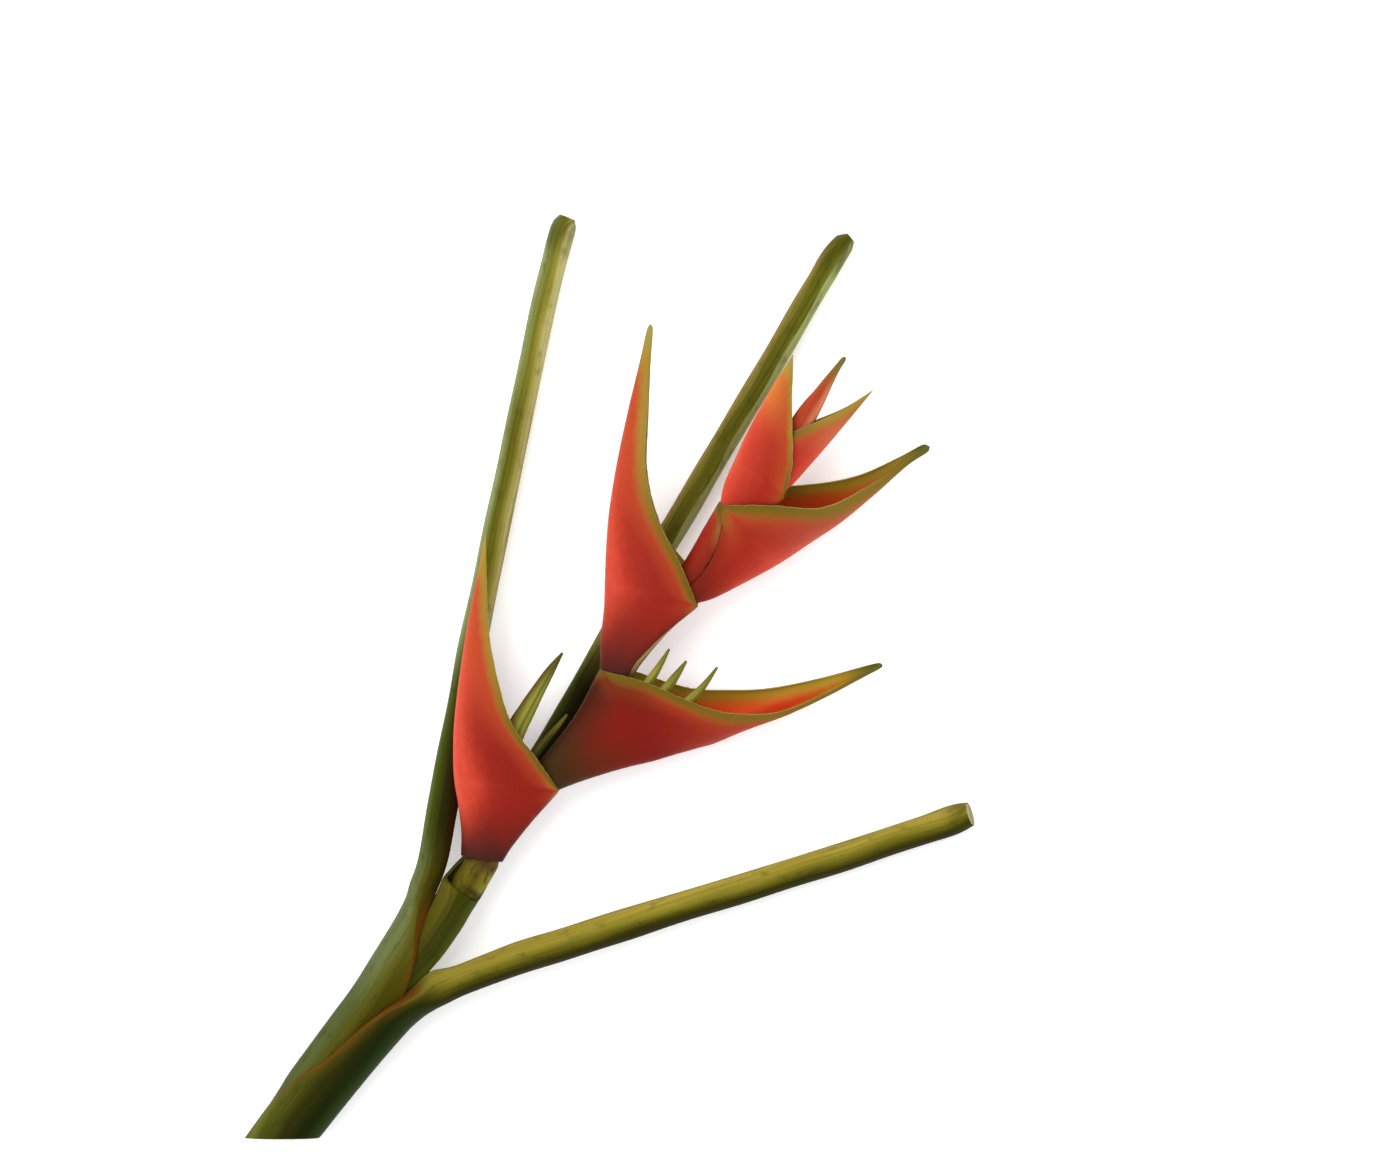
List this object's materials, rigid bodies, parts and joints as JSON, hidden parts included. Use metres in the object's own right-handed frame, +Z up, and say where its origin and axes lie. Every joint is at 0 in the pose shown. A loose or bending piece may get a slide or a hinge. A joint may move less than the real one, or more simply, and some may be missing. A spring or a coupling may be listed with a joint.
{
  "type": "heliconia flower",
  "caption": "Cut heliconia flower stem lying flat, with boat-shaped red bracts set left and right on its axis and bare leaf stalks spreading from the sheaths.",
  "frame": {"origin": "on the table, under the middle of the whole flower as it lies", "axes": "+Y along the stem from its cut end towards the tip, +Z up from the table, +X across the stem to its right"},
  "size_m": [0.2502, 0.3926, 0.0343],
  "materials": {
    "leaf_stalk": "satin, olive green plant skin",
    "flower_stalk": "satin, yellow-olive plant skin",
    "bract": "matte, red with orange and green margins",
    "flower": "matte, yellow-green"
  },
  "bodies": {
    "root": {"leaf_stalk_right": "leaf_stalk", "leaf_stalk_left": "leaf_stalk", "leaf_stalk_back": "leaf_stalk", "flower_stalk": "flower_stalk", "bract_1": "bract", "bract_2": "bract", "bract_3": "bract", "bract_4": "bract", "bract_5": "bract", "bract_6": "bract", "bract_7": "bract", "flower_1a": "flower", "flower_1b": "flower", "flower_2a": "flower", "flower_2b": "flower", "flower_2c": "flower"}
  },
  "joints": []
}
